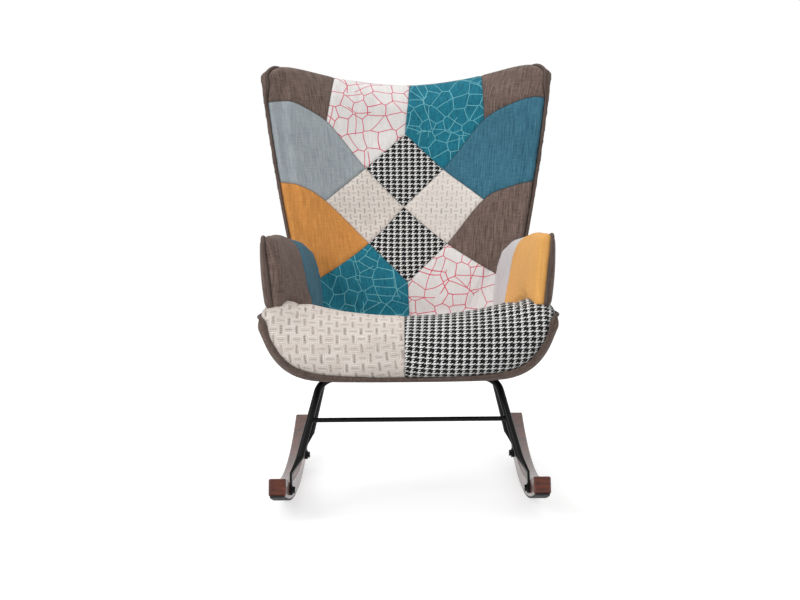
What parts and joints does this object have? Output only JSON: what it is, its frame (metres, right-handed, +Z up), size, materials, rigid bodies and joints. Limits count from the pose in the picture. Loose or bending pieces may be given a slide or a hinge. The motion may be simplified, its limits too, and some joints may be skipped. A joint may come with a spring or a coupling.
{
  "type": "rocking armchair",
  "caption": "High-back patchwork rocking armchair on a steel tube frame with curved wooden rockers, for sitting on a floor.",
  "frame": {"origin": "on the floor, midway between the two lines where the rubber strips touch it at rest", "axes": "+Z up, the sitter looks along -Y, +X is at the sitter's left"},
  "size_m": [0.701, 0.824, 0.9782],
  "materials": {
    "linen": "brown-grey linen weave",
    "patchwork": "patchwork of printed and woven cotton",
    "foam": "polyurethane foam and wadding",
    "plywood": "bare plywood",
    "lacquered_wood": "glossy walnut-brown lacquer",
    "black_steel": "satin black powder coat",
    "zinc_steel": "zinc plated",
    "black_rubber": "matt",
    "dust_cloth": "thin black non-woven cloth"
  },
  "bodies": {
    "root": {"arm_board_left": "plywood", "arm_board_right": "plywood", "arm_brackets": "zinc_steel", "arm_foam_left": "foam", "arm_foam_right": "foam", "arm_inner_cover_left": "patchwork", "arm_inner_cover_right": "patchwork", "arm_outer_cover_left": "linen", "arm_outer_cover_right": "linen", "arm_piping_left": "linen", "arm_piping_right": "linen", "back_board": "plywood", "back_brackets": "zinc_steel", "back_foam": "foam", "back_front_cover": "patchwork", "back_piping": "linen", "back_rear_cover": "linen", "bracket_screws": "zinc_steel", "front_leg_hoop": "black_steel", "front_stretcher": "black_steel", "mounting_rail_left": "black_steel", "mounting_rail_right": "black_steel", "rear_leg_hoop": "black_steel", "rocker_bolt_washers": "black_steel", "rocker_bolts": "black_steel", "rocker_left": "lacquered_wood", "rocker_right": "lacquered_wood", "rocker_strip_left": "black_rubber", "rocker_strip_right": "black_rubber", "rocker_threaded_inserts": "zinc_steel", "seat_board": "plywood", "seat_bolt_washers": "black_steel", "seat_bolts": "black_steel", "seat_border_cover": "linen", "seat_dust_cover": "dust_cloth", "seat_foam": "foam", "seat_piping": "linen", "seat_tee_nuts": "zinc_steel", "seat_top_cover": "patchwork"}
  },
  "joints": []
}
